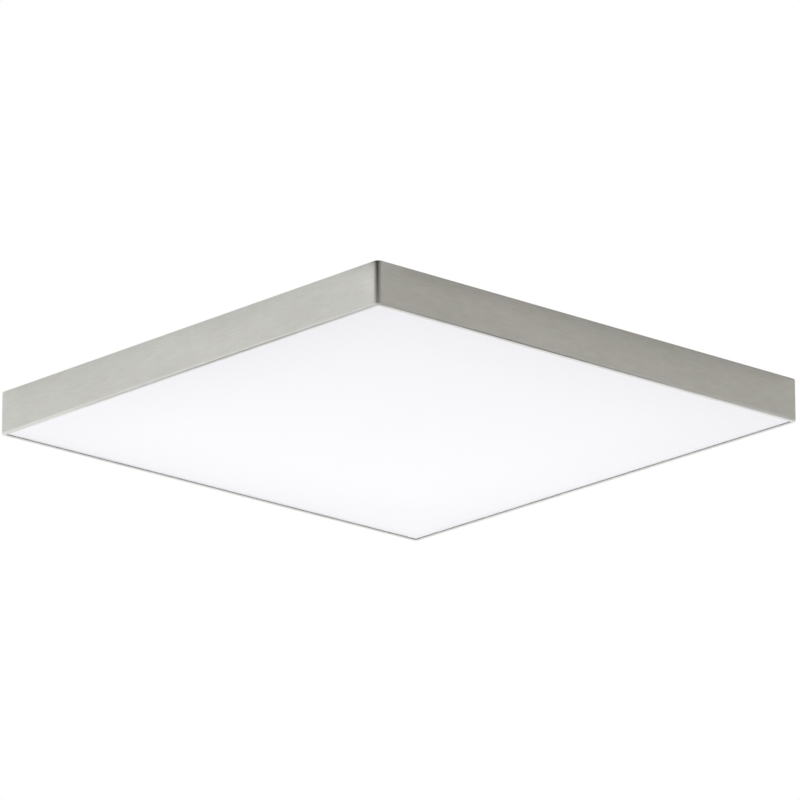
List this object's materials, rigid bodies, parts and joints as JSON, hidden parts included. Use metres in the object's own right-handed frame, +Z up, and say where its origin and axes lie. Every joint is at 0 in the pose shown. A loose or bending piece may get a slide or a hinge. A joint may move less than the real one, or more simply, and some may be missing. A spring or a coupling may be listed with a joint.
{
  "type": "flush mount ceiling light",
  "caption": "Square flush mount LED ceiling light: folded brushed nickel frame round an opal diffuser, over a ceiling pan with an LED tray and driver.",
  "frame": {"origin": "centre of the wire entry, in the plane of the ceiling", "axes": "+Z up into the ceiling, the light hangs along -Z; X and Y along the frame's sides, with the LED boards and the driver along Y"},
  "size_m": [0.61, 0.61, 0.0486],
  "materials": {
    "brushed_nickel": "folded stainless steel, brushed along its length, satin nickel finish",
    "white_powder_coat": "white powder coat on cold rolled steel",
    "white_reflector": "matt white high reflectance coat on aluminium sheet",
    "zinc_steel": "bright zinc plate",
    "spring_steel": "rolled stainless spring steel",
    "driver_steel": "deep drawn steel, light grey enamel",
    "white_board": "white solder mask",
    "green_board": "green solder mask",
    "led_phosphor": "yellow phosphor in a white package",
    "clear_acrylic": "moulded clear lens",
    "opal_acrylic": "satin opal acrylic sheet, lit from behind",
    "white_nylon": "moulded",
    "grey_nylon": "moulded",
    "orange_nylon": "moulded",
    "black_nylon": "moulded",
    "ferrite": "ferrite core with taped winding",
    "capacitor_sleeve": "shrink sleeve",
    "tinned_brass": "tinned",
    "black_lead": "PVC insulation",
    "white_lead": "PVC insulation",
    "green_lead": "PVC insulation",
    "red_lead": "PVC insulation",
    "grey_foam": "closed cell foam tape"
  },
  "bodies": {
    "housing": {"bridge_connectors": "white_nylon", "bus_board": "white_board", "catch_spring_1": "spring_steel", "catch_spring_2": "spring_steel", "catch_spring_3": "spring_steel", "catch_spring_4": "spring_steel", "ceiling_pan": "white_powder_coat", "dc_minus_lead": "black_lead", "dc_plus_lead": "red_lead", "driver_base": "zinc_steel", "driver_board": "green_board", "driver_capacitors": "capacitor_sleeve", "driver_case": "driver_steel", "driver_transformer": "ferrite", "feed_connector": "white_nylon", "ground_lead": "green_lead", "ground_lug": "tinned_brass", "lead_bushings": "black_nylon", "led_board_1": "white_board", "led_board_2": "white_board", "led_board_3": "white_board", "led_board_4": "white_board", "led_board_5": "white_board", "led_board_6": "white_board", "led_board_7": "white_board", "led_lenses": "clear_acrylic", "led_packages": "led_phosphor", "led_tray": "white_reflector", "line_lead": "black_lead", "neutral_lead": "white_lead", "stud_nuts": "zinc_steel", "terminal_body": "grey_nylon", "terminal_clamps": "tinned_brass", "tray_rail_1": "zinc_steel", "tray_rail_2": "zinc_steel", "tray_screws": "zinc_steel"},
    "frame": {"trim_frame": "brushed_nickel", "corner_brace_1": "zinc_steel", "corner_brace_2": "zinc_steel", "corner_brace_3": "zinc_steel", "corner_brace_4": "zinc_steel", "diffuser_panel": "opal_acrylic", "diffuser_seal": "grey_foam", "diffuser_clip_1": "spring_steel", "diffuser_clip_2": "spring_steel", "diffuser_clip_3": "spring_steel", "diffuser_clip_4": "spring_steel", "diffuser_clip_5": "spring_steel", "diffuser_clip_6": "spring_steel", "diffuser_clip_7": "spring_steel", "diffuser_clip_8": "spring_steel"},
    "button_line": {"release_button_1": "orange_nylon"},
    "button_neutral": {"release_button_2": "orange_nylon"},
    "button_ground": {"release_button_3": "orange_nylon"}
  },
  "joints": [
    {"name": "frame_drop", "type": "slide", "parent": "housing", "child": "frame", "axis": [0, 0, -1], "range_m": [0, 0.06], "deforming": ["catch_spring_1", "catch_spring_2", "catch_spring_3", "catch_spring_4"]},
    {"name": "press_line", "type": "slide", "parent": "housing", "child": "button_line", "axis": [0, 0, 1], "range_m": [0, 0.0012], "stiffness_N_per_m": 600, "springref_m": -0.001},
    {"name": "press_neutral", "type": "slide", "parent": "housing", "child": "button_neutral", "axis": [0, 0, 1], "range_m": [0, 0.0012], "stiffness_N_per_m": 600, "springref_m": -0.001},
    {"name": "press_ground", "type": "slide", "parent": "housing", "child": "button_ground", "axis": [0, 0, 1], "range_m": [0, 0.0012], "stiffness_N_per_m": 600, "springref_m": -0.001}
  ]
}
